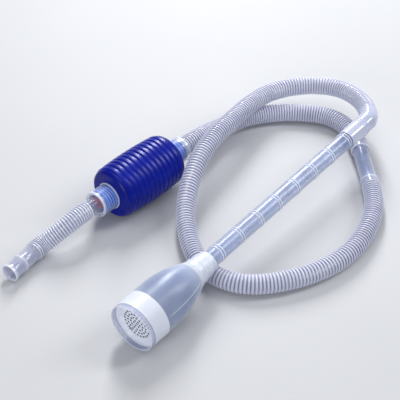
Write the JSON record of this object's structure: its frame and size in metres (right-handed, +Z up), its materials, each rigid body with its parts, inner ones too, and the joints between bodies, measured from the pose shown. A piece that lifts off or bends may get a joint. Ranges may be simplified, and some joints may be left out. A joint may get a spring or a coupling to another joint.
{
  "type": "gravel vacuum siphon",
  "caption": "Hand-pumped gravel siphon: flared bell with strainer, straight tube, looped corrugated hose, ribbed squeeze bulb with one-way valves and a short outlet hose.",
  "frame": {"origin": "on the surface the siphon lies on, under the middle of its rigid pieces", "axes": "+X along the suction tube from its mouth towards the hose, in plan; +Z up"},
  "size_m": [0.4397, 0.2613, 0.058],
  "materials": {
    "bell_plastic": "clear",
    "clear_plastic": "clear",
    "hose_plastic": "satin",
    "white_plastic": "satin",
    "bulb_rubber": "satin",
    "seat_plastic": "satin",
    "disc_rubber": "matte",
    "washer_rubber": "matte"
  },
  "bodies": {
    "root": {"straight_tube": "clear_plastic", "elbow_sleeve": "hose_plastic", "main_hose": "hose_plastic", "main_hose_cuff": "hose_plastic", "hose_coupler": "clear_plastic", "inlet_hose_cuff": "hose_plastic", "inlet_hose": "hose_plastic", "inlet_hose_sleeve": "hose_plastic", "inlet_valve_seat": "seat_plastic", "bulb": "bulb_rubber"},
    "suction_head": {"bell": "bell_plastic", "neck_adapter": "white_plastic"},
    "strainer": {"strainer": "white_plastic"},
    "inlet_washer": {"inlet_washer": "washer_rubber"},
    "inlet_cap": {"inlet_cap": "clear_plastic"},
    "inlet_valve_disc": {"inlet_valve_disc": "disc_rubber"},
    "outlet_end": {"outlet_valve_seat": "seat_plastic", "outlet_hose_sleeve": "hose_plastic", "outlet_hose": "hose_plastic", "outlet_mouthpiece": "hose_plastic"},
    "outlet_valve_disc": {"outlet_valve_disc": "disc_rubber"},
    "outlet_washer": {"outlet_washer": "washer_rubber"},
    "outlet_cap": {"outlet_cap": "clear_plastic"}
  },
  "joints": [
    {"name": "bulb_squeeze", "type": "slide", "parent": "root", "child": "outlet_end", "axis": [0.9988, -0.0489, 0], "range_m": [0, 0.026], "stiffness_N_per_m": 300, "deforming": ["bulb"]},
    {"name": "outlet_valve_lift", "type": "slide", "parent": "outlet_end", "child": "outlet_valve_disc", "axis": [-0.9988, 0.0489, 0], "range_m": [0, 0.0025]},
    {"name": "inlet_valve_lift", "type": "slide", "parent": "root", "child": "inlet_valve_disc", "axis": [-0.9988, 0.0489, 0], "range_m": [0, 0.0025]},
    {"name": "outlet_cap_travel", "type": "slide", "parent": "outlet_end", "child": "outlet_washer", "axis": [-0.9988, 0.0489, 0], "range_m": [0, 0.006]},
    {"name": "outlet_cap_turn", "type": "hinge", "parent": "outlet_washer", "child": "outlet_cap", "pos_m": [-0.08284, 0.06964, 0.029], "axis": [-0.9988, 0.0489, 0], "range_deg": [0, 720]},
    {"name": "inlet_cap_travel", "type": "slide", "parent": "root", "child": "inlet_washer", "axis": [0.9988, -0.0489, 0], "range_m": [0, 0.006]},
    {"name": "inlet_cap_turn", "type": "hinge", "parent": "inlet_washer", "child": "inlet_cap", "pos_m": [0.01704, 0.06476, 0.029], "axis": [0.9988, -0.0489, 0], "range_deg": [0, 720]},
    {"name": "head_pull_off", "type": "slide", "parent": "root", "child": "suction_head", "axis": [-0.9987, 0, -0.0511], "range_m": [0, 0.014]},
    {"name": "strainer_pull_out", "type": "slide", "parent": "suction_head", "child": "strainer", "axis": [-0.9987, 0, -0.0511], "range_m": [0, 0.025]}
  ],
  "couplings": [
    {"joint": "outlet_cap_travel", "follows": "outlet_cap_turn", "m_per_rad": 0.00047746},
    {"joint": "inlet_cap_travel", "follows": "inlet_cap_turn", "m_per_rad": 0.00047746}
  ]
}
